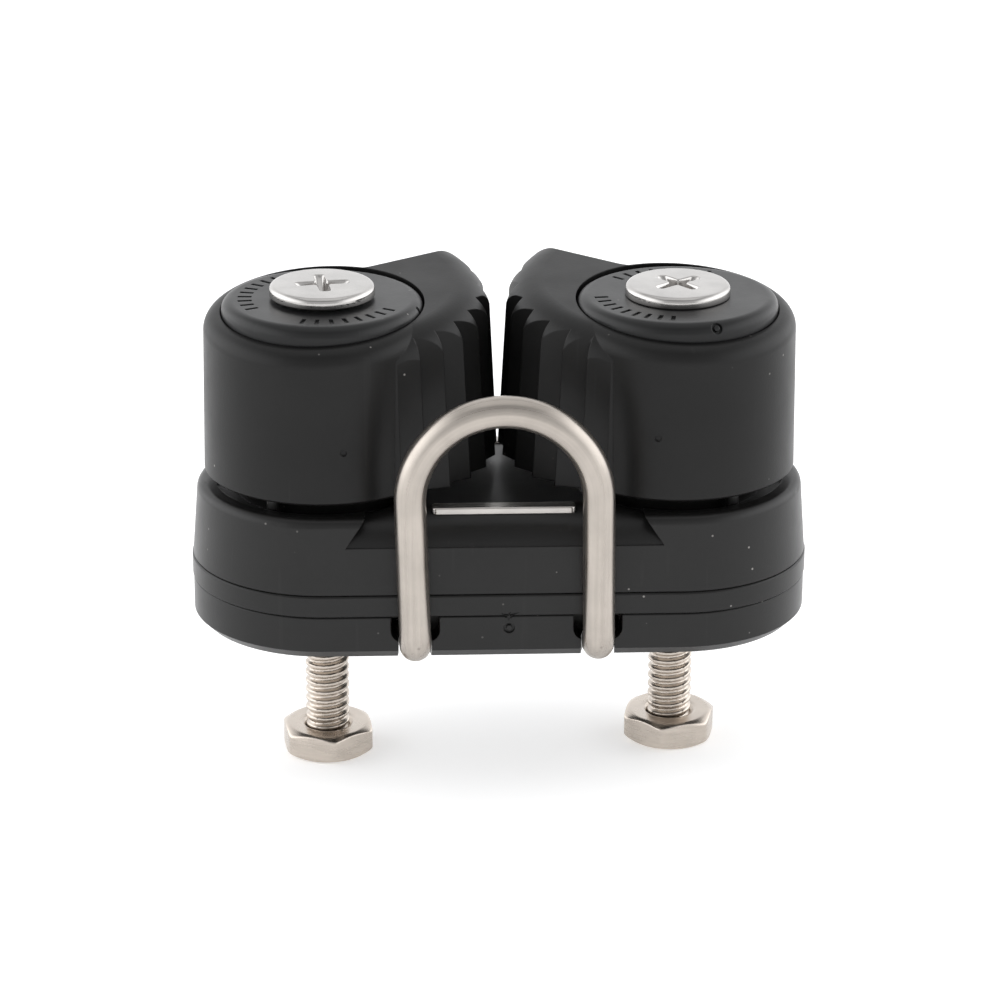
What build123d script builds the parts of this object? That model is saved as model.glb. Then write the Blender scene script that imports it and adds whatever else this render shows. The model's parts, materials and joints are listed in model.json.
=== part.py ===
"""Cam cleat for 3 to 12 mm rope: an oval base, two sprung toothed cams on ball bearings, a wire bail
in front, and two machine screws with nuts that go through the deck.

Millimetres. +Z is up from the deck, +X runs along the line of the two screws, -Y is the side that the
loaded rope leaves from, through the bail. The origin is the middle of the face that sits on the deck.
"""
from build123d import *
from math import acos, atan, atan2, cos, degrees, exp, radians, sin, sqrt
import os

# ---- driving dimensions ----
PIVOT_SPACING = 38.1  # between the two screws
PIVOT_X = PIVOT_SPACING / 2
PAD_TOP = 4.9  # fairlead pad: 0 to here
COVER_TOP = 7.3  # cover plate: pad to here
BASE_TOP = 15.7  # cleat base: cover plate to here
CAM_BOTTOM = 17.05
CAM_TOP = 35.07  # cam's top face, measured at its pivot
CAP_TOP = 36.0

BASE_END_R = 14.45  # base, at its foot
BASE_TOP_END_R = 13.8  # base, at its rim
COVER_END_R = 14.55
PAD_END_R = 14.45
SEAM_CHAMFER = 0.15  # the small bevel that shows as a line between two mouldings
RIM_FILLET = 1.0
PAD_FOOT_CHAMFER = 1.0
SCREW_HOLE_R = 2.6

# rope lead-in: an arc about an axis along X that rounds off the base's long top edges
LEAD_R = 5.4
LEAD_Y = 9.0  # the arc's axis, from the middle plane
LEAD_Z = 10.3
LEAD_FOOT_Z = 12.6
LEAD_HALF_FOOT = 16.9  # half its length along X at its foot
LEAD_HALF_TOP = 14.8  # and at the rim

# base: cored out from below, and what it has under each cam
WALL = 2.2
CORE_TOP = 12.4
SCREW_BOSS_R = 5.6
RIB = 1.8
RECESS_R = 11.9
RECESS_Z = 14.6
THRUST_R = 9.6
THRUST_Z = CAM_BOTTOM - 0.1
SPIGOT_R = 8.7
SPIGOT_Z = 18.2
STOP_PIN_R = 0.7
STOP_RADIUS = 10.9  # the stop pin's distance from the pivot
STOP_ANGLE = -120.0  # and its direction, in the left cam's sense
STOP_SLACK = 0.08

# stainless wear bars let into both lips of the channel between the cams
WEAR_HALF_X = 7.66
WEAR_LIP_Y = 11.1  # their outer faces, from the middle plane
WEAR_DEPTH = 1.7
WEAR_BOTTOM = 14.95
WEAR_TOP = 15.95
WEAR_CORNER = 0.5
WEAR_EDGE_FILLET = 0.2
WEAR_GAP = 0.08

# cams, in the left cam's sense: 0 degrees faces the rope channel, 90 degrees faces back
CAM_R = 12.75  # round body, at its top
CAM_FOOT_R = 13.0
CAM_SLOPE_X = 0.039  # rise of the top face towards the rope channel
CAM_SLOPE_Y = 0.087  # rise of the top face towards the back
CAM_FILLET = 1.95
WING_FILLET = 3.8  # the broad slope from the flat top down to the teeth
WING_EDGE_FILLET = 0.3  # the crisp back edge of the wing's top
WING_START = -53.0  # where the toothed face leaves the round body
WING_TIP = {"left": 44.5, "right": 46.5}
WING_GROWTH = 0.3235  # of the radius per radian, a logarithmic spiral
WING_DRAFT = 0.055  # outwards, per mm down from the top
WING_BACK_ROOT = (6.0, 10.95)  # a point on the wing's straight back face
WING_BACK_BLEND = 4.0
WING_SECTOR_END = 100.0  # the wing is added to the round body as far round as this
TOOTH_FIRST = -41.5
TOOTH_STEP = 12.0
TOOTH_COUNT = 7
TOOTH_DEPTH = 1.3
TOOTH_BACK = 1.6  # degrees taken up by a tooth's steep back
TOOTH_INSET = 0.05  # the crests stand back this far from the foot of the slope above them
CAM_TRAVEL = 60.0
GATE_MARK_R = 0.35
GATE_MARK_DEPTH = 0.3
GATE_MARK = {"left": (-80.7, 22.9), "right": (-77.0, 24.1)}  # direction and height

# bearings: two rows of balls between the cap's hub and each cam
BALL_R = 3.175 / 2
BALL_PITCH_R = 7.5
BALL_COUNT = 14
BALL_CLEARANCE = 0.05
ROW_HEIGHTS = {"lower": 19.95, "upper": 30.9}
HUB_R = 6.2
CAM_BORE_R = 8.8
CAM_SEAT_Z = 32.9  # floor of the cam's counterbore
CAP_FLANGE_Z = 33.0
CAP_R = 10.84
CAP_GAP = 0.11
CAP_FILLET = 1.2

# torsion spring between the two rows
SPRING_WIRE_R = 0.45
SPRING_R = 7.5
SPRING_PITCH = 1.25
SPRING_TURNS = 4
SPRING_Z = 22.9
SPRING_LEG = 1.9
SLOT_WIDTH = 1.2  # slots that hold the spring's two legs
SLOT_HEIGHT = 2.4

# engraved ring of ticks on each cap
TICK_RADIUS = 8.3
TICK_SIZE = (0.45, 1.5, 0.2)
TICK_ARCS = {  # start and end of each group, degrees
    "left": ((118.0, 206.0), (256.0, 328.0)),
    "right": ((62.0, 136.0), (186.0, 262.0)),
}
TICK_STEP = 10.0

# wire bail
WIRE_R = 1.7
BAIL_Y = -16.3
BAIL_X = -0.17  # the arch's middle
BAIL_R = 9.92  # arch, to the wire's centre
BAIL_Z = 18.7  # the arch's centre
BAIL_FOOT_Z = 1.75
BAIL_BEND_R = 1.9
BAIL_LEAN = {"left": 1.8, "right": 0.6}  # degrees that each leg's foot leans towards +X
BAIL_TURN_R = 8.0
BAIL_EYE_R = 4.6  # the eye round each screw, to the wire's centre
BAIL_EYE_SWEEP = 225.0

# the groove for the bail, open under the pad
GROOVE_ROOF = BAIL_FOOT_Z + WIRE_R + 0.08
GROOVE_GAP = 0.08
MOUTH_HALF_WIDTH = 2.6
MOUTH_FLOOR = 2.0  # the mouths are open from here up to the cover plate
MOUTH_CORNER = 1.3
MOUTH_DEPTH = 3.0

# round gate marks: a ring cut round a pip
GATE_RING = (0.3, 0.6, 0.3)  # the pip's radius, the ring's outer radius, its depth
PAD_GATE = (0.45, 3.5)  # on the pad's front face
CAP_GATE = (10.55, -72.0, 35.4)  # on the right cap's rounded rim: radius, direction, height
CAP_GATE_TILT = 55.0
CAP_NOTCH = (10.84, -16.0)  # in the left cap's rim: radius and direction
CAP_NOTCH_SIZE = (0.9, 0.5, 3.0)  # radially, round the rim, in height

# screws and nuts
SHANK_R = 2.1  # rolled-thread blank, where it runs inside the cleat and in the nut
THREAD_R = 2.413
HEAD_R = 5.68
HEAD_H = 1.35
HEAD_CROWN = 0.1  # how much of that height is the slight crown
HEAD_SHOULDER_R = 0.65
SCREW_LENGTH = 52.8
SCREW_SEAT = {"left": 36.35, "right": 36.02}  # under the head: the left one isn't driven right down
POINT_CHAMFER = 0.4
CROSS_WIDTH = 1.15  # Phillips recess
CROSS_SPAN = 6.0
CROSS_DEPTH = 1.7
CROSS_TURN = {"left": 8.0, "right": 38.0}
NUT_ACROSS_FLATS = 9.53
NUT_H = 3.2
NUT_BOTTOM = {"left": -16.7, "right": -15.7}
NUT_TURN = {"left": 8.0, "right": -14.0}

SIGN = {"left": -1, "right": 1}
UP = (Align.CENTER, Align.CENTER, Align.MIN)
FAR = 60.0  # larger than the cleat in any direction from its middle


# ---- helpers ----
def place(shape, side):
    """Moves a shape drawn in the left cam's sense, about its pivot, to its side of the cleat."""
    if side == "right":
        shape = mirror(shape, about=Plane.YZ)
    return Pos(SIGN[side] * PIVOT_X, 0, 0) * shape


def polar(radius, angle, centre=(0.0, 0.0)):
    return (centre[0] + radius * cos(radians(angle)), centre[1] + radius * sin(radians(angle)))


def disc(radius, low, high):
    """An upright cylinder about the origin between two heights."""
    return Pos(0, 0, low) * Cylinder(radius, high - low, align=UP)


def at_pivots(shape):
    return Pos(-PIVOT_X, 0, 0) * shape + Pos(PIVOT_X, 0, 0) * shape


def oval(end_radius, low, high, top_radius=None):
    """The cleat's oval, with draft if its top is smaller."""
    foot = Pos(0, 0, low) * SlotCenterToCenter(PIVOT_SPACING, 2 * end_radius)
    inset = end_radius - (top_radius or end_radius)
    return extrude(foot, high - low, taper=degrees(atan(inset / (high - low))))


def level_edges(shape, z):
    """The edges of a shape that lie flat at one height."""
    flat = []
    for edge in shape.edges():
        box = edge.bounding_box()
        if abs(box.min.Z - z) < 0.01 and abs(box.max.Z - z) < 0.01:
            flat.append(edge)
    return flat


def face_of(*lines):
    return make_face(Curve() + list(lines))


# ---- base, cover plate, pad and wear plate ----
def lead_in_cutter():
    """What the rope lead-in takes off the front long edge: all that lies outside its arc."""
    foot_y = -LEAD_Y - sqrt(LEAD_R**2 - (LEAD_FOOT_Z - LEAD_Z) ** 2)
    middle = (-LEAD_Y - LEAD_R * cos(radians(58)), LEAD_Z + LEAD_R * sin(radians(58)))
    crest = (-LEAD_Y, LEAD_Z + LEAD_R)
    high = BASE_TOP + 6.0
    out = foot_y - 6.0
    arc = ThreePointArc((foot_y, LEAD_FOOT_Z), middle, crest)
    rest = Polyline(crest, (crest[0], high), (out, high), (out, LEAD_FOOT_Z), (foot_y, LEAD_FOOT_Z))
    bar = extrude(Plane.YZ * face_of(arc, rest), FAR, both=True)
    narrowing = (LEAD_HALF_FOOT - LEAD_HALF_TOP) / (BASE_TOP - LEAD_FOOT_Z)
    half_high = LEAD_HALF_FOOT - narrowing * (high - LEAD_FOOT_Z)
    ends = Polyline(
        (-LEAD_HALF_FOOT, LEAD_FOOT_Z),
        (LEAD_HALF_FOOT, LEAD_FOOT_Z),
        (half_high, high),
        (-half_high, high),
        close=True,
    )
    return bar & extrude(Plane.XZ * face_of(ends), FAR, both=True)


def pivot_seat():
    """What stands under a cam: a thrust ring and the spigot inside the cam's bore."""
    return disc(THRUST_R, RECESS_Z - 1, THRUST_Z) + disc(SPIGOT_R, RECESS_Z, SPIGOT_Z)


def stop_pin():
    """The pin that runs in the groove under the left cam and ends its travel."""
    x, y = polar(STOP_RADIUS, STOP_ANGLE)
    return Pos(x, y, 0) * disc(STOP_PIN_R, RECESS_Z - 1, SPIGOT_Z)


def base_core():
    """The hollow under the base, between its wall, screw bosses and ribs."""
    height = CORE_TOP - COVER_TOP
    core = oval(BASE_END_R - WALL, COVER_TOP, CORE_TOP, BASE_TOP_END_R - WALL)
    core -= at_pivots(disc(SCREW_BOSS_R, COVER_TOP, CORE_TOP))
    core -= Pos(0, 0, COVER_TOP) * Box(2 * FAR, RIB, height, align=UP)
    for x in (-PIVOT_X / 2, PIVOT_X / 2):
        core -= Pos(x, 0, COVER_TOP) * Box(RIB, 2 * FAR, height, align=UP)
    return core


def cleat_base():
    base = oval(BASE_END_R, COVER_TOP, BASE_TOP, BASE_TOP_END_R)
    base = fillet(level_edges(base, BASE_TOP), RIM_FILLET)
    base = chamfer(level_edges(base, COVER_TOP), SEAM_CHAMFER)
    cutter = lead_in_cutter()
    base -= cutter
    base -= mirror(cutter, about=Plane.XZ)
    base -= at_pivots(disc(RECESS_R, RECESS_Z, BASE_TOP + 1))
    for end in (-1, 1):
        base -= wear_block(end, WEAR_GAP, BASE_TOP + 1)
    base += at_pivots(pivot_seat())
    for side in SIGN:
        base += place(stop_pin(), side)
    return base - base_core() - at_pivots(disc(SCREW_HOLE_R, 0, FAR))


def cover_plate():
    plate = oval(COVER_END_R, PAD_TOP, COVER_TOP)
    plate = chamfer(level_edges(plate, COVER_TOP) + level_edges(plate, PAD_TOP), SEAM_CHAMFER)
    return plate - at_pivots(disc(SCREW_HOLE_R, 0, FAR))


def wear_block(end, gap, top):
    """The block of the wear bar at the front (-1) or rear (1) lip, larger by gap all round."""
    bar = RectangleRounded(2 * (WEAR_HALF_X + gap), WEAR_DEPTH + 2 * gap, WEAR_CORNER)
    y = end * (WEAR_LIP_Y - WEAR_DEPTH / 2)
    return extrude(Pos(0, y, WEAR_BOTTOM) * bar, top - WEAR_BOTTOM)


def wear_bar(end):
    bar = wear_block(end, 0, WEAR_TOP)
    return fillet(level_edges(bar, WEAR_TOP), WEAR_EDGE_FILLET)


def gate_ring():
    """What a round gate mark takes out of a face that lies at z = 0."""
    pip, ring, depth = GATE_RING
    return Cylinder(ring, 2 * depth) - Cylinder(pip, 2 * depth)


def groove_for_bail(side):
    """The room in the pad for one leg's hidden run: a groove, a round pocket for the eye and a
    round-bottomed mouth that is wider than the wire."""
    run = bail_run(side)
    centre = Curve() + [
        Line((run[0][0], run[0][1] - MOUTH_DEPTH), run[0]),
        ThreePointArc(run[0], run[1], run[2]),
        Line(run[2], run[3]),
    ]
    groove = trace(centre, 2 * (WIRE_R + GROOVE_GAP))
    room = extrude(Pos(0, 0, -1) * groove, GROOVE_ROOF + 1)
    eye = disc(BAIL_EYE_R + WIRE_R + GROOVE_GAP, -1, GROOVE_ROOF)
    room += Pos(SIGN[side] * PIVOT_X, 0, 0) * eye
    opening = RectangleRounded(2 * MOUTH_HALF_WIDTH, 2 * (PAD_TOP - MOUTH_FLOOR), MOUTH_CORNER)
    mouth = Rot(90, 0, 0) * extrude(opening, MOUTH_DEPTH, both=True)
    return room + Pos(run[0][0], -PAD_END_R, PAD_TOP) * mouth


def fairlead_pad():
    pad = oval(PAD_END_R, 0, PAD_TOP)
    pad = chamfer(level_edges(pad, 0), PAD_FOOT_CHAMFER)
    pad = chamfer(level_edges(pad, PAD_TOP), SEAM_CHAMFER)
    for side in SIGN:
        pad -= groove_for_bail(side)
    pad -= Pos(PAD_GATE[0], -PAD_END_R, PAD_GATE[1]) * Rot(90, 0, 0) * gate_ring()
    return pad - at_pivots(disc(SCREW_HOLE_R, -1, FAR))


# ---- wire bail ----
def bail_leg(side):
    """One leg's straight run in the plane of the arch: its top and its foot, as (x, z)."""
    lean = radians(BAIL_LEAN[side])
    top = (BAIL_X + SIGN[side] * BAIL_R * cos(lean), BAIL_Z + SIGN[side] * BAIL_R * sin(lean))
    foot_z = BAIL_FOOT_Z + BAIL_BEND_R * cos(lean)
    return top, (top[0] + (top[1] - foot_z) * sin(lean) / cos(lean), foot_z)


def bail_run(side):
    """One leg's hidden run in the pad, as (x, y): its start, the middle and end of a gentle turn
    outwards, then the start, middle and end of the eye round the screw."""
    sign = SIGN[side]
    start = (bail_leg(side)[1][0] + BAIL_BEND_R * sin(radians(BAIL_LEAN[side])), BAIL_Y + BAIL_BEND_R)
    # worked out as if the screw were on the right, and turned clockwise about both centres
    turn = (sign * start[0] + BAIL_TURN_R, start[1])
    eye = (PIVOT_X, 0.0)
    apart = sqrt((eye[0] - turn[0]) ** 2 + (eye[1] - turn[1]) ** 2)
    heading = degrees(atan2(eye[1] - turn[1], eye[0] - turn[0]))
    leave = heading + degrees(acos((BAIL_TURN_R - BAIL_EYE_R) / apart))
    points = [
        polar(BAIL_TURN_R, (180 + leave) / 2, turn),
        polar(BAIL_TURN_R, leave, turn),
        polar(BAIL_EYE_R, leave, eye),
        polar(BAIL_EYE_R, leave - BAIL_EYE_SWEEP / 2, eye),
        polar(BAIL_EYE_R, leave - BAIL_EYE_SWEEP, eye),
    ]
    return [start] + [(sign * x, y) for x, y in points]


def leg_path(side):
    """The wire's centre line from the arch's end to the end of the eye."""
    lean = radians(BAIL_LEAN[side])
    top, foot = bail_leg(side)
    knee = BAIL_BEND_R * sqrt(0.5)
    bend_y = BAIL_Y + BAIL_BEND_R
    bend_middle = (foot[0] + knee * sin(lean), bend_y - knee, foot[1] - knee * cos(lean))
    run = [(x, y, BAIL_FOOT_Z) for x, y in bail_run(side)]
    return [
        Line((top[0], BAIL_Y, top[1]), (foot[0], BAIL_Y, foot[1])),
        ThreePointArc((foot[0], BAIL_Y, foot[1]), bend_middle, run[0]),
        ThreePointArc(run[0], run[1], run[2]),
        Line(run[2], run[3]),
        ThreePointArc(run[3], run[4], run[5]),
    ]


def wire_bail():
    tops = {side: bail_leg(side)[0] for side in SIGN}
    arch = ThreePointArc(
        (tops["left"][0], BAIL_Y, tops["left"][1]),
        (BAIL_X, BAIL_Y, BAIL_Z + BAIL_R),
        (tops["right"][0], BAIL_Y, tops["right"][1]),
    )
    path = Wire([arch.edge()] + [line.edge() for side in SIGN for line in leg_path(side)])
    section = Plane(path.location_at(0)) * Circle(WIRE_R)
    return sweep(section, path=path)


# ---- cams ----
def above_cam_top():
    """All that lies above a cam's sloping top face."""
    top = Plane(origin=(0, 0, CAM_TOP), z_dir=(-CAM_SLOPE_X, -CAM_SLOPE_Y, 1))
    return top * Box(2 * FAR, 2 * FAR, FAR, align=UP)


def top_edges(solid, on_side):
    """The edges of the sloping top face that a test of (x, y) picks out."""
    face = solid.faces().sort_by(Axis.Z)[-1]
    return [edge for edge in face.edges() if on_side(edge.center().X, edge.center().Y)]


def crest(angle, z, outward=0):
    """A point on the smooth face that the teeth are cut into, or on one further out."""
    radius = CAM_R * exp(WING_GROWTH * radians(angle - WING_START)) + WING_DRAFT * (CAM_TOP - z)
    return polar(radius + outward, angle)


def tooth_outline(z, side):
    """The toothed wing in plan at one height: each tooth rises slowly and drops steeply at its back."""
    tip = crest(WING_TIP[side], z, -TOOTH_INSET)
    points = [polar(CAM_R * 0.8, WING_START - 14), crest(WING_START, z, -TOOTH_INSET)]
    for i in range(TOOTH_COUNT):
        angle = TOOTH_FIRST + i * TOOTH_STEP
        points.append(crest(angle, z, -TOOTH_INSET))
        points.append(crest(angle + TOOTH_BACK, z, -TOOTH_INSET - TOOTH_DEPTH))
    points += [tip, (tip[0], tip[1] + 5), polar(CAM_R + 8, WING_SECTOR_END), (0, 0)]
    return face_of(Polyline(*[(x, y, z) for x, y in points], close=True))


def smooth_outline(z, side):
    """The surface of the crests carried on past both ends of the wing, and closed far behind it."""
    start, end, count = WING_START - 16, WING_TIP[side] + 16, 8
    angles = [start + (end - start) * i / (count - 1) for i in range(count)]
    points = [(*crest(angle, z), z) for angle in angles]
    back = Polyline(points[-1], (-FAR, points[-1][1], z), (-FAR, points[0][1], z), points[0])
    return face_of(Spline(*points), back)


def between(outline, side, low, high):
    return loft([outline(low, side), outline(high, side)], ruled=True)


def rounded_wing_block(side):
    """What the wing is cut from on its toothed side, with the broad rounding of its top edge."""
    block = between(smooth_outline, side, CAM_BOTTOM, CAP_TOP + 6) - above_cam_top()
    toothed_side = Vertex(*crest(0, CAM_TOP), CAM_TOP)
    edges = top_edges(block, lambda x, y: True)
    return fillet(min(edges, key=lambda edge: edge.distance_to(toothed_side)), WING_FILLET)


def back_block(side):
    """What the wing is cut from on its back. Its outline leaves the edge of the round body's flat top
    in a blend, so the body's broad rounding runs out into the crisp edge of the straight back face."""
    rim = CAM_R - CAM_FILLET
    tip = crest(WING_TIP[side], CAM_TOP)
    root = WING_BACK_ROOT
    length = sqrt((tip[0] - root[0]) ** 2 + (tip[1] - root[1]) ** 2)
    along = ((tip[0] - root[0]) / length, (tip[1] - root[1]) / length)
    out = (-along[1], along[0])
    # the blend is a circle that touches the flat top's edge and the back face from outside
    face_distance = out[0] * root[0] + out[1] * root[1]
    blend_out = face_distance + WING_BACK_BLEND
    blend_along = sqrt((rim + WING_BACK_BLEND) ** 2 - blend_out**2)
    blend = tuple(out[i] * blend_out + along[i] * blend_along for i in (0, 1))
    on_body = tuple(blend[i] * rim / (rim + WING_BACK_BLEND) for i in (0, 1))
    on_face = tuple(blend[i] - WING_BACK_BLEND * out[i] for i in (0, 1))
    turn = degrees(atan2(on_body[1] - blend[1], on_body[0] - blend[0]))
    turn_end = degrees(atan2(on_face[1] - blend[1], on_face[0] - blend[0]))
    beyond = tuple(on_face[i] + along[i] * 25 for i in (0, 1))
    outline = face_of(
        ThreePointArc((-rim, 0), polar(rim, 120), on_body),
        ThreePointArc(on_body, polar(WING_BACK_BLEND, (turn + turn_end) / 2, blend), on_face),
        Line(on_face, beyond),
        Polyline(beyond, (beyond[0], -25), (-rim, -25), (-rim, 0)),
    )
    block = extrude(Pos(0, 0, CAM_BOTTOM) * outline, FAR) - above_cam_top()
    return fillet(top_edges(block, lambda x, y: y > 5 and x < 20), WING_EDGE_FILLET)


def cam_wing(side):
    """The teeth run up at full depth until the slope round the flat top cuts them off."""
    teeth = between(tooth_outline, side, CAM_BOTTOM, CAP_TOP + 6)
    return teeth & rounded_wing_block(side) & back_block(side)


def cam_body():
    height = CAP_TOP + 4 - CAM_BOTTOM
    slope = (CAM_FOOT_R - CAM_R) / (CAM_TOP - CAM_BOTTOM)
    cone = Cone(CAM_FOOT_R, CAM_FOOT_R - slope * height, height, align=UP)
    body = Pos(0, 0, CAM_BOTTOM) * cone - above_cam_top()
    body = fillet(top_edges(body, lambda x, y: True), CAM_FILLET)
    return chamfer(level_edges(body, CAM_BOTTOM), 0.25)


def ball_groove(z):
    """The race that a row of balls runs in, a ring cut into both the hub and the cam."""
    section = Pos(BALL_PITCH_R, z) * Circle(BALL_R + BALL_CLEARANCE)
    return revolve(Plane.XZ * section, Axis.Z)


def stop_groove():
    """The groove under the cam that the stop pin runs in. The cam turns by its travel while the pin
    stays, so in the cam the pin goes backwards from where it stands at rest."""
    slack = degrees(STOP_SLACK / STOP_RADIUS)
    first = STOP_ANGLE - CAM_TRAVEL - slack
    last = STOP_ANGLE + slack
    arc = ThreePointArc(*[polar(STOP_RADIUS, a) for a in (first, (first + last) / 2, last)])
    groove = SlotArc(arc, 2 * (STOP_PIN_R + STOP_SLACK))
    return extrude(Pos(0, 0, CAM_BOTTOM - 1) * groove, SPIGOT_Z + 0.2 - CAM_BOTTOM + 1)


def leg_slot(radius, angle, z):
    """A slot that holds one leg of the spring."""
    x, y = polar(radius, angle)
    return Pos(x, y, z) * Rot(0, 0, angle) * Box(SPRING_LEG, SLOT_WIDTH, SLOT_HEIGHT)


def cam(side):
    shape = cam_body() + cam_wing(side)
    shape -= disc(CAM_BORE_R, 0, FAR)
    shape -= disc(CAP_R + CAP_GAP, CAM_SEAT_Z, FAR)
    for z in ROW_HEIGHTS.values():
        shape -= ball_groove(z)
    shape -= stop_groove()
    top_leg_z = SPRING_Z + SPRING_PITCH * SPRING_TURNS
    shape -= leg_slot(CAM_BORE_R + 0.3, 0, top_leg_z)
    angle, height = GATE_MARK[side]
    x, y = polar(CAM_FOOT_R, angle)
    mark = Pos(x, y, height) * Rot(0, 0, angle) * Rot(0, 90, 0) * Cylinder(GATE_MARK_R, 2 * GATE_MARK_DEPTH)
    return shape - mark


# ---- what each cam turns on ----
def cap():
    """The disc that shows in the top of a cam, and its hub that stands on the base's spigot."""
    shape = disc(CAP_R, CAP_FLANGE_Z, CAP_TOP)
    shape = fillet(level_edges(shape, CAP_TOP), CAP_FILLET)
    shape += disc(HUB_R, SPIGOT_Z, CAP_FLANGE_Z)
    shape -= disc(SCREW_HOLE_R, 0, FAR)
    for z in ROW_HEIGHTS.values():
        shape -= ball_groove(z)
    return shape - leg_slot(HUB_R - 0.1, 0, SPRING_Z)


def ticks(side):
    """The generic engraved ring of ticks in one cap."""
    width, length, depth = TICK_SIZE
    marks = []
    for start, end in TICK_ARCS[side]:
        count = round((end - start) / TICK_STEP)
        for i in range(count + 1):
            angle = start + i * (end - start) / count
            x, y = polar(TICK_RADIUS, angle)
            marks.append(Pos(x, y, CAP_TOP) * Rot(0, 0, angle - 90) * Box(width, length, 2 * depth))
    return Pos(SIGN[side] * PIVOT_X, 0, 0) * Compound(marks)


def cap_mark(side):
    """The left cap's small notch in its rim, or the right cap's gate mark."""
    if side == "left":
        x, y = polar(*CAP_NOTCH)
        mark = Pos(x, y, CAP_TOP) * Rot(0, 0, CAP_NOTCH[1]) * Box(*CAP_NOTCH_SIZE)
    else:
        radius, angle, z = CAP_GATE
        x, y = polar(radius, angle)
        mark = Pos(x, y, z) * Rot(0, 0, angle) * Rot(0, CAP_GATE_TILT, 0) * gate_ring()
    return Pos(SIGN[side] * PIVOT_X, 0, 0) * mark


def ball_row(z):
    """One row of separate balls."""
    ball = Pos(BALL_PITCH_R, 0, z) * Sphere(BALL_R)
    return Compound([Rot(0, 0, i * 360 / BALL_COUNT) * ball for i in range(BALL_COUNT)])


def torsion_spring():
    """A close coil with one leg in the hub's slot and one in the cam's."""
    coil_path = Helix(SPRING_PITCH, SPRING_PITCH * SPRING_TURNS, SPRING_R)
    section = Plane(coil_path @ 0, z_dir=coil_path % 0) * Circle(SPRING_WIRE_R)
    coil = Pos(0, 0, SPRING_Z) * sweep(section, path=coil_path, is_frenet=True)
    leg = Rot(0, 90, 0) * Cylinder(SPRING_WIRE_R, SPRING_LEG)
    top_z = SPRING_Z + SPRING_PITCH * SPRING_TURNS
    lower = Pos(SPRING_R - SPRING_LEG / 2, 0, SPRING_Z) * leg
    upper = Pos(SPRING_R + SPRING_LEG / 2, 0, top_z) * leg
    return coil + lower + upper


# ---- fasteners ----
def screw_head(seat):
    """A thin wide head: an upright rim, a rounded shoulder and a crown that is nearly flat."""
    rim = (HEAD_R, seat + HEAD_H - HEAD_CROWN - HEAD_SHOULDER_R)
    knee = HEAD_SHOULDER_R * sqrt(0.5)
    shoulder = (HEAD_R - HEAD_SHOULDER_R + knee, rim[1] + knee)
    flat = (HEAD_R - HEAD_SHOULDER_R, rim[1] + HEAD_SHOULDER_R)
    crown = (0, seat + HEAD_H)
    section = face_of(
        Polyline(crown, (0, seat), (HEAD_R, seat), rim),
        ThreePointArc(rim, shoulder, flat),
        Line(flat, crown),
    )
    return revolve(Plane.XZ * section, Axis.Z)


def screw(side):
    """A wide-head machine screw. Its thread is drawn plain, and only where it shows."""
    seat = SCREW_SEAT[side]
    tip = seat - SCREW_LENGTH
    nut_top = NUT_BOTTOM[side] + NUT_H
    shape = screw_head(seat) + disc(SHANK_R, tip, seat) + disc(THREAD_R, nut_top, 0)
    shape = chamfer(level_edges(shape, tip), POINT_CHAMFER)
    blade = Box(CROSS_SPAN, CROSS_WIDTH, CROSS_DEPTH, align=(Align.CENTER, Align.CENTER, Align.MAX))
    cross = Pos(0, 0, seat + HEAD_H) * Rot(0, 0, CROSS_TURN[side]) * (blade + Rot(0, 0, 90) * blade)
    return Pos(SIGN[side] * PIVOT_X, 0, 0) * (shape - cross)


def nut(side):
    """A hex nut, its corners turned off at both faces."""
    low, high = NUT_BOTTOM[side], NUT_BOTTOM[side] + NUT_H
    across_corners = NUT_ACROSS_FLATS / cos(radians(30))
    hexagon = RegularPolygon(across_corners / 2, 6)
    blank = extrude(Pos(0, 0, low) * Rot(0, 0, NUT_TURN[side]) * hexagon, NUT_H)
    turned = disc(across_corners / 2 + 0.01, low, high)
    turned = chamfer(level_edges(turned, low) + level_edges(turned, high), 0.5, 0.9)
    shape = (blank & turned) - disc(SHANK_R + 0.02, low - 1, high + 1)
    return Pos(SIGN[side] * PIVOT_X, 0, 0) * shape


def all_parts():
    parts = {
        "cleat_base": cleat_base(),
        "cover_plate": cover_plate(),
        "fairlead_pad": fairlead_pad(),
        "front_wear_bar": wear_bar(-1),
        "rear_wear_bar": wear_bar(1),
        "wire_bail": wire_bail(),
    }
    cap_shape = cap()
    for side in SIGN:
        parts[f"{side}_cam"] = place(cam(side), side)
        parts[f"{side}_cap"] = place(cap_shape, side) - ticks(side) - cap_mark(side)
        parts[f"{side}_spring"] = place(torsion_spring(), side)
        for row, z in ROW_HEIGHTS.items():
            parts[f"{side}_{row}_balls"] = place(ball_row(z), side)
        parts[f"{side}_screw"] = screw(side)
        parts[f"{side}_nut"] = nut(side)
    return parts


if __name__ == "__main__":
    os.makedirs("parts", exist_ok=True)
    for name, shape in all_parts().items():
        export_step(shape, f"parts/{name}.step")
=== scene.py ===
"""The looks of a cam cleat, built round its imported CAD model: a material for every piece, and the
screws and nuts made again with threads, driver recesses and rounded corners. Metres throughout."""
import json
from math import atan, ceil, cos, floor, pi, radians, sin, tan

import bpy
from mathutils import Matrix, Vector


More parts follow.
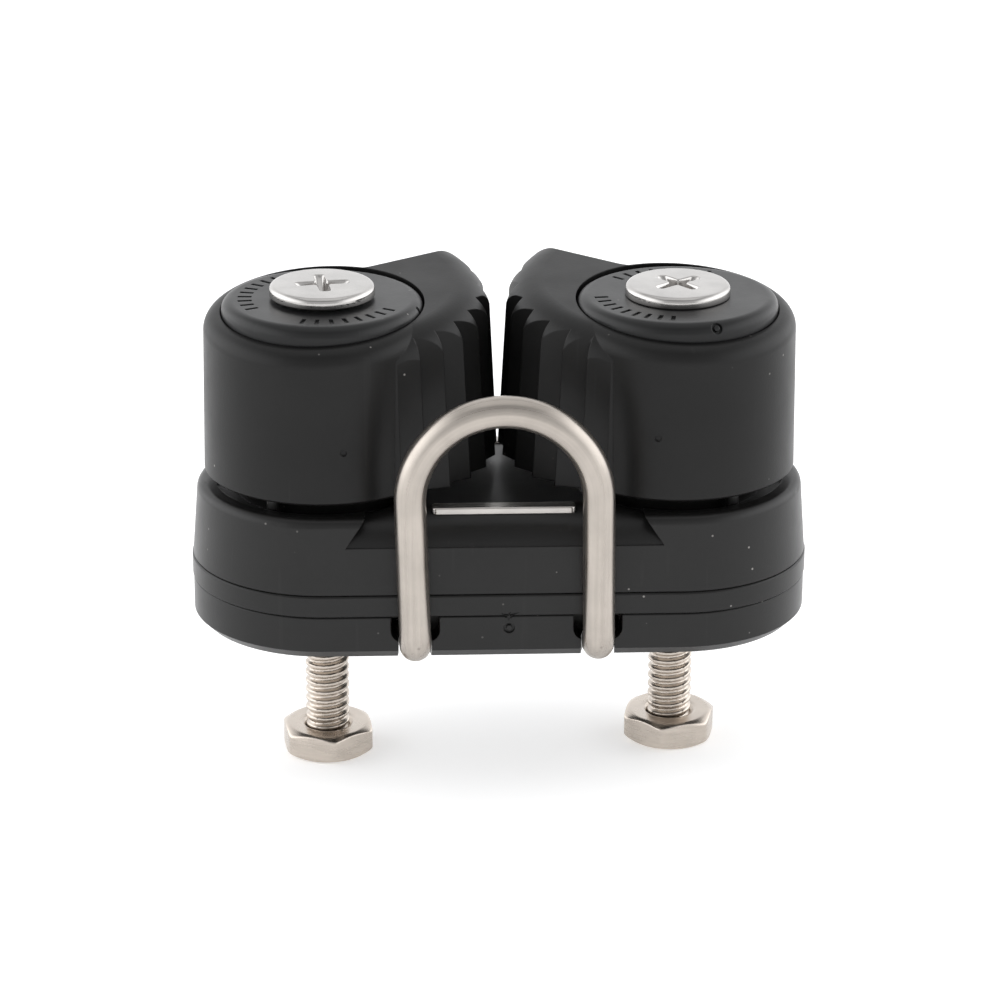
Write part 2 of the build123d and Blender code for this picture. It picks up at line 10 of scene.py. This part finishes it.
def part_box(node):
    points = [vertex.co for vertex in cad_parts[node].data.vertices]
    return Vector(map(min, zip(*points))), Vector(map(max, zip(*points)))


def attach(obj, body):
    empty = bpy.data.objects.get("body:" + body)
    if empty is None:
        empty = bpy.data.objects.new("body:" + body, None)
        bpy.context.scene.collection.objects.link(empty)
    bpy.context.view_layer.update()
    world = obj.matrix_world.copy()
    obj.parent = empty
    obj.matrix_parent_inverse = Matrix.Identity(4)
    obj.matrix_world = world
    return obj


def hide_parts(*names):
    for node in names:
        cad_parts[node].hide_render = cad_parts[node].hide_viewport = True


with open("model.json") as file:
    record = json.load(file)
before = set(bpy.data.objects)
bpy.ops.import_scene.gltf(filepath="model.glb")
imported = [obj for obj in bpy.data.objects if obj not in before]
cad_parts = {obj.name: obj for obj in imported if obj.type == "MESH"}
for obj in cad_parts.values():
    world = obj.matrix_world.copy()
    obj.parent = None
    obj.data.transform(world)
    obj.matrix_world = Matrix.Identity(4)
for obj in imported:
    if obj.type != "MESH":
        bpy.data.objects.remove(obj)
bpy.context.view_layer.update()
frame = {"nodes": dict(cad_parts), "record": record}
nodes = frame["nodes"]

MM = 0.001
SIDES = {"left": -1, "right": 1}

# ---- where the CAD model has things ----
PIVOT_X = 19.05 * MM
BAIL_X = -0.17 * MM  # middle of the bail's arch
BAIL_Z = 18.7 * MM  # and its height

# Painted shade: dark spots in the colour low on the bail's legs stand in for the shade inside small dimples,
# which the surface doesn't have.
DIMPLE_SHADE_SPOTS = (Vector((-9.23, -18.0, 2.58)) * MM, Vector((10.09, -18.0, 2.42)) * MM)  # low on its legs
DIMPLE_SHADE_R = 0.32 * MM

# ---- camera ----
CAMERA_AZIMUTH = 2.536
CAMERA_ELEVATION = 21.07
CAMERA_ROLL = 0.222
CAMERA_DISTANCE = 413.1 * MM
CAMERA_AIM = Vector((0.057, 0.0, 12.546)) * MM
CAMERA_LENS = 136.04
SENSOR = 36.0

# ---- surfaces ----
EDGE_SOFTNESS = 0.16 * MM  # how far the moulded edges' highlights reach
GRAIN_DEPTH = 0.012 * MM
RIPPLE_DEPTH = 0.03 * MM
STREAK_DEPTH = 0.006 * MM
PIT_DEPTH = 0.008 * MM

# ---- light: how bright the floor and the tent are ----
FLOOR_SIDE = 6.0
FLOOR_GAP = 0.02 * MM  # the floor stays this far below the nuts
FLOOR_GLOW = 0.34
FRONT_GLOW = 0.75
SIDE_GLOW = 2.45
BACK_GLOW = 1.25
ZENITH_GLOW = 0.62

# ---- screws and nuts ----
THREAD_PITCH = 1.058 * MM
THREAD_MAJOR_R = 2.413 * MM
THREAD_MINOR_R = 2.0 * MM
THREAD_TOP = 4.0 * MM  # the thread runs up into the pad as far as this
SHANK_R = 2.1 * MM
POINT_CHAMFER = 0.45 * MM
HEAD_SHOULDER_R = 0.62 * MM
HEAD_CROWN = 0.10 * MM
HEAD_H = 1.35 * MM
RECESS_TURN = {"left": 8.0, "right": 38.0}
NUT_ACROSS_FLATS = 9.53 * MM
NUT_TURN = {"left": 8.0, "right": -14.0}
SCREW_SEGMENTS = 72
NUT_SEGMENTS = 120


# ---- material nodes ----
class Nodes:
    """A material's node tree, built with short calls."""

    def __init__(self, name):
        self.material = bpy.data.materials.new(name)
        self.material.use_nodes = True
        self.tree = self.material.node_tree
        self.shader = self.tree.nodes["Principled BSDF"]
        self.place = self.add("TexCoord").outputs["Object"]

    def add(self, kind, inputs=None, **properties):
        node = self.tree.nodes.new("ShaderNode" + kind)
        for key, value in properties.items():
            setattr(node, key, value)
        for key, value in (inputs or {}).items():
            self.put(node.inputs[key], value)
        return node

    def put(self, socket, value):
        if isinstance(value, bpy.types.NodeSocket):
            self.tree.links.new(value, socket)
        else:
            socket.default_value = value

    def set(self, **inputs):
        for key, value in inputs.items():
            self.put(self.shader.inputs[key.replace("_", " ")], value)

    def math(self, operation, *values):
        node = self.add("Math", operation=operation)
        for socket, value in zip(node.inputs, values):
            self.put(socket, value)
        return node.outputs[0]

    def noise(self, scale, detail=3.0, roughness=0.55, place=None):
        node = self.add(
            "TexNoise",
            {"Vector": place or self.place, "Scale": scale, "Detail": detail, "Roughness": roughness},
        )
        return node.outputs["Fac"]

    def remap(self, value, low, high, to_low=0.0, to_high=1.0):
        """A value between low and high, taken to another range and kept inside it."""
        node = self.add("MapRange", {
            "Value": value, "From Min": low, "From Max": high, "To Min": to_low, "To Max": to_high,
        })
        return node.outputs[0]

    def blend(self, amount, first, second):
        node = self.add("Mix", data_type="RGBA")
        self.put(node.inputs[0], amount)
        self.put(node.inputs[6], first)
        self.put(node.inputs[7], second)
        return node.outputs[2]

    def stretched(self, x, y, z):
        return self.add("Mapping", {"Vector": self.place, "Scale": (x, y, z)}).outputs[0]

    def near(self, centre, radius):
        """1 at a point, and 0 beyond a distance from it."""
        node = self.add("VectorMath", operation="DISTANCE")
        self.put(node.inputs[0], self.place)
        self.put(node.inputs[1], centre)
        return self.remap(node.outputs["Value"], 0.0, radius, 1.0, 0.0)

    def bump(self, height, distance, strength=1.0, normal=None):
        inputs = {"Height": height, "Distance": distance, "Strength": strength}
        if normal is not None:
            inputs["Normal"] = normal
        return self.add("Bump", inputs).outputs[0]


def grey(value, warmth=0.0):
    """A grey; a positive warmth makes it slightly warmer, a negative one bluer."""
    return (value * (1 + warmth), value, value * (1 - warmth), 1.0)


def moulded_plastic(name, shade, warmth, roughness, specular, dust=1.0):
    """Satin black nylon: fine moulded grain, cloudy gloss, hairline scratches and a little dust."""
    n = Nodes(name)
    clouds = n.noise(90.0, detail=4.0)
    grain_height = n.noise(3600.0, detail=2.0)
    ripple = n.noise(260.0, detail=2.0)

    cells = n.add("TexVoronoi", {"Vector": n.place, "Scale": 520.0, "Randomness": 1.0})
    speck = n.remap(cells.outputs["Distance"], 0.035, 0.08, 1.0, 0.0)
    patch = n.remap(n.noise(55.0, detail=1.0), 0.44, 0.60)
    draw = n.add("SeparateColor", {"Color": cells.outputs["Color"]}).outputs[0]
    chance = n.math("GREATER_THAN", draw, 0.35)
    dust_amount = n.math("MULTIPLY", n.math("MULTIPLY", speck, chance), n.math("MULTIPLY", patch, 0.6 * dust))

    scratch_place = n.add("Mapping", {
        "Vector": n.place, "Rotation": (0.5, 0.3, 0.8), "Scale": (900.0, 900.0, 28.0),
    }).outputs[0]
    scratches = n.remap(n.noise(1.0, detail=1.0, place=scratch_place), 0.70, 0.74, 0.0, 0.35)

    plain = n.blend(n.remap(clouds, 0.35, 0.65), grey(shade * 0.86, warmth), grey(shade * 1.16, warmth))
    scuffed = n.blend(scratches, plain, grey(shade * 1.9, warmth))
    n.set(Base_Color=n.blend(dust_amount, scuffed, grey(0.42, 0.05)))

    mist = n.noise(140.0, detail=5.0, roughness=0.65)
    cloudy = n.remap(mist, 0.3, 0.7, roughness - 0.045, roughness + 0.045)
    n.set(Roughness=n.math("ADD", cloudy, n.math("MULTIPLY", dust_amount, 0.4)))
    n.shader.inputs["Specular IOR Level"].default_value = specular
    soft_edges = n.add("Bevel", {"Radius": EDGE_SOFTNESS}, samples=6).outputs[0]
    fine = n.bump(grain_height, GRAIN_DEPTH, 0.5, soft_edges)
    n.set(Normal=n.bump(ripple, RIPPLE_DEPTH, 0.35, fine))
    return n.material


def stainless(name, shade, warmth, roughness, streak_place=None, dimple_shades=()):
    """Satin stainless steel with faint mottling, streaks where it was drawn or brushed, and painted shade
    for the small dimples that are named: dark spots in the colour, with no dent in the surface."""
    n = Nodes(name)
    place = streak_place(n) if streak_place else n.place
    clouds = n.noise(260.0, detail=4.0)
    streaks = n.noise(1.0 if streak_place else 1800.0, detail=3.0, place=place)
    tone = n.math("ADD", n.math("MULTIPLY", clouds, 0.5), n.math("MULTIPLY", streaks, 0.5))
    colour = n.blend(
        n.remap(tone, 0.38, 0.62), grey(shade * 0.87, warmth), grey(shade * 1.05, warmth))
    # painted shade: each named dimple is a dark spot blended into the colour, standing in for the shade
    # inside it
    for centre in dimple_shades:
        colour = n.blend(n.near(centre, DIMPLE_SHADE_R), colour, grey(shade * 0.2, warmth))
    n.set(Base_Color=colour)
    n.set(Metallic=1.0, Roughness=n.remap(streaks, 0.3, 0.7, roughness - 0.06, roughness + 0.07))
    pits = n.noise(1500.0, detail=3.0)
    fine = n.bump(streaks, STREAK_DEPTH, 0.6)
    n.set(Normal=n.bump(pits, PIT_DEPTH, 0.5, fine))
    return n.material


def along_bail(n):
    """Coordinates that run along the wire: up both legs and round the arch."""
    axes = n.add("SeparateXYZ", {"Vector": n.place})
    across = n.math("SUBTRACT", axes.outputs["X"], BAIL_X)
    above = n.math("MAXIMUM", n.math("SUBTRACT", axes.outputs["Z"], BAIL_Z), 0.0)
    radius = n.math("SQRT", n.math("ADD", n.math("POWER", across, 2.0), n.math("POWER", above, 2.0)))
    rows = {
        "X": n.math("MULTIPLY", radius, 2600.0),
        "Y": n.math("MULTIPLY", axes.outputs["Y"], 2600.0),
        "Z": n.math("MULTIPLY", axes.outputs["Z"], 60.0),
    }
    return n.add("CombineXYZ", rows).outputs[0]


def along_x(n):
    return n.stretched(50.0, 2600.0, 2600.0)


def turned(n):
    """Coordinates for turned or rolled metal, with marks that run round the axis."""
    return n.stretched(260.0, 260.0, 2600.0)


def polished_acetal(name):
    n = Nodes(name)
    clouds = n.noise(500.0, detail=3.0)
    n.set(Base_Color=n.blend(n.remap(clouds, 0.35, 0.65), (0.74, 0.73, 0.67, 1), (0.82, 0.81, 0.76, 1)))
    n.set(Roughness=n.remap(n.noise(900.0), 0.3, 0.7, 0.16, 0.26))
    n.set(Normal=n.bump(n.noise(4000.0), 0.004 * MM, 0.4))
    return n.material


def studio_floor(name):
    n = Nodes(name)
    n.set(Base_Color=n.blend(n.remap(n.noise(30.0), 0.3, 0.7), grey(0.93, 0.002), grey(0.95, 0.0)))
    n.set(Roughness=0.9)
    n.shader.inputs["Specular IOR Level"].default_value = 0.1
    n.shader.inputs["Emission Color"].default_value = grey(1.0)
    n.shader.inputs["Emission Strength"].default_value = FLOOR_GLOW
    return n.material


# ---- mesh helpers ----
def new_piece(name, vertices, faces, material, sharp=35.0):
    mesh = bpy.data.meshes.new(name)
    mesh.from_pydata(vertices, [], faces)
    mesh.validate()
    mesh.polygons.foreach_set("use_smooth", [True] * len(mesh.polygons))
    mesh.set_sharp_from_angle(angle=radians(sharp))
    mesh.materials.append(material)
    piece = bpy.data.objects.new(name, mesh)
    bpy.context.scene.collection.objects.link(piece)
    return piece


def skin(rings, joined=False):
    """Vertices and faces over a stack of rings that all have the same number of points. The stack is
    closed at both ends, or else joined, the last ring to the first."""
    count = len(rings[0])
    vertices = [point for ring in rings for point in ring]
    faces = []
    last = len(rings) if joined else len(rings) - 1
    for i in range(last):
        low, high = i * count, (i + 1) % len(rings) * count
        for j in range(count):
            k = (j + 1) % count
            faces.append((low + j, low + k, high + k, high + j))
    if not joined:
        faces.append(tuple(reversed(range(count))))
        faces.append(tuple(range((len(rings) - 1) * count, len(rings) * count)))
    return vertices, faces


def rounded(points, passes=2, cut=0.25):
    """Cuts the corners of an open outline, which rounds them; its ends stay."""
    for _ in range(passes):
        smoother = [points[0]]
        for (ax, ay), (bx, by) in zip(points, points[1:]):
            smoother.append((ax + (bx - ax) * cut, ay + (by - ay) * cut))
            smoother.append((bx + (ax - bx) * cut, by + (ay - by) * cut))
        points = smoother + [points[-1]]
    return points


def cut_with(piece, cutter):
    """Takes the cutter's shape out of the piece, and removes the cutter."""
    modifier = piece.modifiers.new("cut", "BOOLEAN")
    modifier.operation = "DIFFERENCE"
    modifier.solver = "EXACT"
    modifier.object = cutter
    graph = bpy.context.evaluated_depsgraph_get()
    mesh = bpy.data.meshes.new_from_object(piece.evaluated_get(graph))
    piece.modifiers.clear()
    old = piece.data
    piece.data = mesh
    bpy.data.meshes.remove(old)
    bpy.data.objects.remove(cutter)


# ---- screws ----
def thread_radius(turn, z):
    """Radius of a rolled thread: rounded crests and roots that climb one pitch a turn."""
    phase = z / THREAD_PITCH - turn / (2 * pi)
    from_crest = abs(2 * (phase - floor(phase)) - 1)
    flank = min(max((0.86 - from_crest) / 0.68, 0.0), 1.0)
    height = flank * flank * (3 - 2 * flank)
    return THREAD_MINOR_R + (THREAD_MAJOR_R - THREAD_MINOR_R) * height


def head_profile(seat, head_r):
    """Radius and height from under the head, round its rim and over its crown to near its middle."""
    edge = 0.15 * MM
    flat_r = head_r - HEAD_SHOULDER_R
    top = seat + HEAD_H
    knee = top - HEAD_CROWN - HEAD_SHOULDER_R
    profile = [(SHANK_R, seat), (head_r - edge, seat)]
    profile += [
        (head_r - edge + edge * sin(a), seat + edge - edge * cos(a))
        for a in (radians(22.5 * i) for i in range(1, 5))
    ]
    profile += [
        (flat_r + HEAD_SHOULDER_R * cos(a), knee + HEAD_SHOULDER_R * sin(a))
        for a in (radians(9.0 * i) for i in range(1, 11))
    ]
    rings = 18
    for i in range(1, rings):
        share = 1 - i / rings
        profile.append((flat_r * share, top - HEAD_CROWN * share * share))
    return profile


def cross_ring(span, width, z, turn, centre):
    """A cross with rounded arm ends, as one ring of points."""
    blend = 0.16 * MM
    cap = min(0.45 * MM, span * 0.3)
    ring = []
    for arm in range(4):
        outline = [(width + blend, -width)]
        for i in range(7):
            a = radians(-90 + 30 * i)
            outline.append((span - cap + cap * cos(a), width * sin(a)))
        outline.append((width + blend, width))
        angle = radians(turn + 90 * arm)
        for x, y in outline:
            ring.append((
                centre.x + x * cos(angle) - y * sin(angle),
                centre.y + x * sin(angle) + y * cos(angle),
                z,
            ))
    return ring


def driver_recess(side, centre, top, material):
    """The solid that a cross recess leaves out: rounded at its rim and tapering to its floor."""
    levels = [  # depth below the crown, half span, half width
        (1.70, 0.95, 0.28), (1.45, 1.35, 0.40), (0.95, 2.05, 0.47), (0.45, 2.62, 0.53),
        (0.16, 2.90, 0.57), (0.07, 2.97, 0.61), (0.01, 3.06, 0.69), (-0.30, 3.42, 1.02),
    ]
    rings = [
        cross_ring(span * MM, width * MM, top - depth * MM, RECESS_TURN[side], centre)
        for depth, span, width in levels
    ]
    return new_piece(side + "_recess", *skin(rings), material)


def machine_screw(side, material, thread_material):
    low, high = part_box(side + "_screw")
    centre = Vector((SIDES[side] * PIVOT_X, 0, 0))
    head_r = (high.x - low.x) / 2
    seat = high.z - HEAD_H
    rows_per_pitch = 12
    rows = ceil((THREAD_TOP - low.z) / THREAD_PITCH * rows_per_pitch)
    step = (THREAD_TOP - low.z) / rows
    turns = [2 * pi * j / SCREW_SEGMENTS for j in range(SCREW_SEGMENTS)]
    rings = []
    for i in range(rows + 1):
        z = low.z + i * step
        point = THREAD_MAJOR_R - POINT_CHAMFER + (z - low.z)
        fade = min(max((THREAD_TOP - z) / THREAD_PITCH, 0.0), 1.0)
        radii = [min(SHANK_R + (thread_radius(t, z) - SHANK_R) * fade, point) for t in turns]
        rings.append([(centre.x + r * cos(t), r * sin(t), z) for r, t in zip(radii, turns)])
    for r, z in head_profile(seat, head_r):
        rings.append([(centre.x + r * cos(t), r * sin(t), z) for t in turns])
    screw = new_piece(side + "_screw_threaded", *skin(rings), material)
    cut_with(screw, driver_recess(side, centre, high.z, material))
    screw.data.set_sharp_from_angle(angle=radians(40))
    screw.data.materials.append(thread_material)
    for face in screw.data.polygons:
        if face.center.z < THREAD_TOP:
            face.material_index = len(screw.data.materials) - 1
    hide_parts(side + "_screw")
    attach(screw, "base")


# ---- nuts ----
def hexagon_radius(turn, flats_r, corner_r):
    """Distance to a hexagon's side in one direction, with its corners rounded off."""
    within = (turn + pi / 6) % (pi / 3) - pi / 6
    side = flats_r / cos(within)
    sharpness = 26
    return (side**-sharpness + corner_r**-sharpness) ** (-1 / sharpness)


def hex_nut(side, material):
    low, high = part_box(side + "_nut")
    bore, bore_lead = THREAD_MAJOR_R + 0.02 * MM, 0.42 * MM
    face_r = NUT_ACROSS_FLATS / 2 * 0.93
    slope = tan(radians(30))
    rings = []
    columns = []
    for j in range(NUT_SEGMENTS):
        turn = 2 * pi * j / NUT_SEGMENTS
        outer = hexagon_radius(turn - radians(NUT_TURN[side]), NUT_ACROSS_FLATS / 2, 5.36 * MM)
        drop = (outer - face_r) * slope
        half = [
            (bore, bore_lead), (bore + bore_lead, 0.0), (face_r - 0.5 * MM, 0.0), (face_r, 0.0),
            (outer, drop), (outer, drop + 0.4 * MM),
        ]
        top = [(r, high.z - depth) for r, depth in half]
        bottom = [(r, low.z + depth) for r, depth in reversed(half)]
        column = rounded(top + bottom, passes=2, cut=0.2)
        columns.append([(r * cos(turn), r * sin(turn), z) for r, z in column])
    centre_x = SIDES[side] * PIVOT_X
    for i in range(len(columns[0])):
        rings.append([(centre_x + c[i][0], c[i][1], c[i][2]) for c in columns])
    vertices, faces = skin(list(reversed(rings)), joined=True)
    nut = new_piece(side + "_nut_rounded", vertices, faces, material, sharp=50.0)
    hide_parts(side + "_nut")
    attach(nut, "base")


# ---- the torn stub of a sprue ----
def sprue_stub(material):
    """A small ragged star on the seam between the cover plate and the pad."""
    middle_x, middle_z = 0.4 * MM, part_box("fairlead_pad")[1].z
    face_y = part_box("cover_plate")[0].y
    arms = ((20, 1.15), (68, 0.5), (160, 0.85), (205, 0.45), (270, 0.6), (322, 0.42))  # degrees, reach
    valley = 0.2 * MM
    outline = []
    for i, (angle, reach) in enumerate(arms):
        following = arms[(i + 1) % len(arms)][0]
        between = angle + (following - angle) % 360 / 2
        outline.append((radians(angle), reach * MM))
        outline.append((radians(between), valley))
    levels = ((0.3, 1.0), (-0.06, 1.0), (-0.2, 0.45))  # depth into the face, share of the outline
    rings = []
    for depth, share in levels:
        y = face_y + depth * MM
        rings.append([(middle_x + r * share * cos(a), y, middle_z + r * share * sin(a)) for a, r in outline])
    stub = new_piece("sprue_stub", *skin(rings), material)
    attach(stub, "base")


# ---- stage ----
def add_floor():
    """A pale floor that both nuts stand on, so it slopes by as much as their heights differ."""
    left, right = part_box("left_nut")[0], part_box("right_nut")[0]
    slope = atan((right.z - left.z) / (2 * PIVOT_X))
    half = FLOOR_SIDE / 2
    centre_z = (left.z + right.z) / 2 - FLOOR_GAP
    corners = [
        (x * half, y * half, centre_z + x * half * tan(slope))
        for x, y in ((-1, -1), (1, -1), (1, 1), (-1, 1))
    ]
    floor_piece = new_piece("studio_floor", corners, [(0, 1, 2, 3)], studio_floor("floor_matt"))


def add_light(name, place, size, power):
    """A square soft box that faces the middle of the cleat."""
    data = bpy.data.lights.new(name, "AREA")
    data.size = size
    data.energy = power
    light = bpy.data.objects.new(name, data)
    light.location = place
    light.rotation_euler = (Vector(place) - CAMERA_AIM).to_track_quat("Z", "Y").to_euler()
    bpy.context.scene.collection.objects.link(light)


def add_tent():
    """A white tent all round: dimmer overhead, brightest at both sides."""
    world = bpy.data.worlds.new("white_tent")
    world.use_nodes = True
    tree = world.node_tree
    background = tree.nodes["Background"]
    background.inputs["Color"].default_value = (0.985, 0.99, 1.0, 1.0)

    def ranged(value, low, high, to_low, to_high):
        node = tree.nodes.new("ShaderNodeMapRange")
        node.interpolation_type = "SMOOTHSTEP"
        tree.links.new(value, node.inputs["Value"])
        bounds = {"From Min": low, "From Max": high, "To Min": to_low, "To Max": to_high}
        for key, number in bounds.items():
            node.inputs[key].default_value = number
        return node.outputs[0]

    def joined(operation, first, second):
        node = tree.nodes.new("ShaderNodeMath")
        node.operation = operation
        for socket, value in zip(node.inputs, (first, second)):
            if isinstance(value, float):
                socket.default_value = value
            else:
                tree.links.new(value, socket)
        return node.outputs[0]

    axes = tree.nodes.new("ShaderNodeSeparateXYZ")
    tree.links.new(tree.nodes.new("ShaderNodeTexCoord").outputs["Generated"], axes.inputs[0])
    along = ranged(axes.outputs["Y"], -0.75, 0.1, FRONT_GLOW, BACK_GLOW)
    aside = ranged(joined("ABSOLUTE", axes.outputs["X"], 0.0), 0.45, 0.85, 0.0, SIDE_GLOW - BACK_GLOW)
    above = ranged(axes.outputs["Z"], 0.5, 0.9, 1.0, ZENITH_GLOW / BACK_GLOW)
    glow = joined("MULTIPLY", joined("ADD", along, aside), above)
    tree.links.new(glow, background.inputs["Strength"])
    bpy.context.scene.world = world


def add_surroundings():
    add_tent()
    add_light("top_box", (0.0, 0.1, 1.1), 1.0, 1.2)
    bpy.context.scene.view_settings.view_transform = "Standard"


def add_camera():
    turn, rise, roll = (radians(a) for a in (CAMERA_AZIMUTH, CAMERA_ELEVATION, CAMERA_ROLL))
    back = Vector((-sin(turn) * cos(rise), -cos(turn) * cos(rise), sin(rise)))
    right = (-back).cross(Vector((0, 0, 1))).normalized()
    up = right.cross(-back)
    across = cos(roll) * right + sin(roll) * up
    above = -sin(roll) * right + cos(roll) * up
    data = bpy.data.cameras.new("camera")
    data.sensor_width = SENSOR
    data.lens = CAMERA_LENS
    camera = bpy.data.objects.new("camera", data)
    place = Matrix((across, above, back)).transposed().to_4x4()
    place.translation = CAMERA_AIM + CAMERA_DISTANCE * back
    camera.matrix_world = place
    bpy.context.scene.collection.objects.link(camera)
    bpy.context.scene.camera = camera


def finish_cad_pieces():
    """Gives every CAD node its material; returns the one of the base."""
    moulding = moulded_plastic("black_moulding", 0.0065, 0.03, 0.33, 0.33)
    cam = moulded_plastic("black_cam", 0.0065, 0.02, 0.38, 0.24)
    cap = moulded_plastic("black_cap", 0.0095, -0.02, 0.32, 0.28, dust=0.7)
    drawn = stainless("drawn_wire", 0.42, 0.10, 0.30, along_bail, dimple_shades=DIMPLE_SHADE_SPOTS)
    sheet = stainless("brushed_sheet", 0.50, 0.05, 0.30, along_x)
    spring = stainless("spring_wire", 0.50, 0.01, 0.30)
    acetal = polished_acetal("acetal_ball")
    finishes = {"moulding": moulding, "cam": cam, "cap": cap, "spring": spring, "balls": acetal}
    slots = {row["node"]: row["material_slot"] for row in frame["record"]["subparts"]}
    for name, node in nodes.items():
        finish = finishes.get(slots[name], drawn if name == "wire_bail" else sheet)
        node.data.materials.clear()
        node.data.materials.append(finish)
        node.data.polygons.foreach_set("use_smooth", [True] * len(node.data.polygons))
    return moulding


sprue_stub(finish_cad_pieces())
polished = stainless("polished_steel", 0.49, 0.03, 0.15, turned)
tumbled = stainless("tumbled_steel", 0.53, 0.115, 0.28, turned)
for side in SIDES:
    machine_screw(side, polished, tumbled)
    hex_nut(side, tumbled)
add_floor()
add_surroundings()
add_camera()
